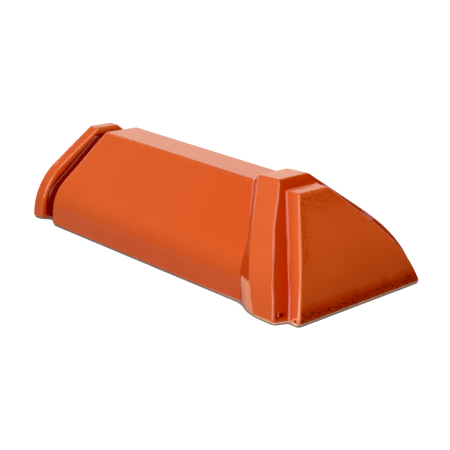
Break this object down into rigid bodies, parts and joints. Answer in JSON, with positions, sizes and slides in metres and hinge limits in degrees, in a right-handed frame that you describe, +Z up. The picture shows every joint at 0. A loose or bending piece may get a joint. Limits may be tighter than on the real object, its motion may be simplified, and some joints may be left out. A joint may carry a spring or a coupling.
{
  "type": "ridge end cap tile",
  "caption": "Glazed clay ridge tile with a hipped closed end, a raised collar and a grooved spigot for the next ridge tile.",
  "frame": {"origin": "on the ground plane, at the centre of the tile's width and length", "axes": "+Y along the ridge, from the hipped closed end towards the spigot; +Z up; X across the ridge"},
  "size_m": [0.2372, 0.4193, 0.1111],
  "materials": {
    "orange_glaze": "glossy orange glaze fired on terracotta"
  },
  "bodies": {
    "root": {"ridge_end_tile": "orange_glaze"}
  },
  "joints": []
}
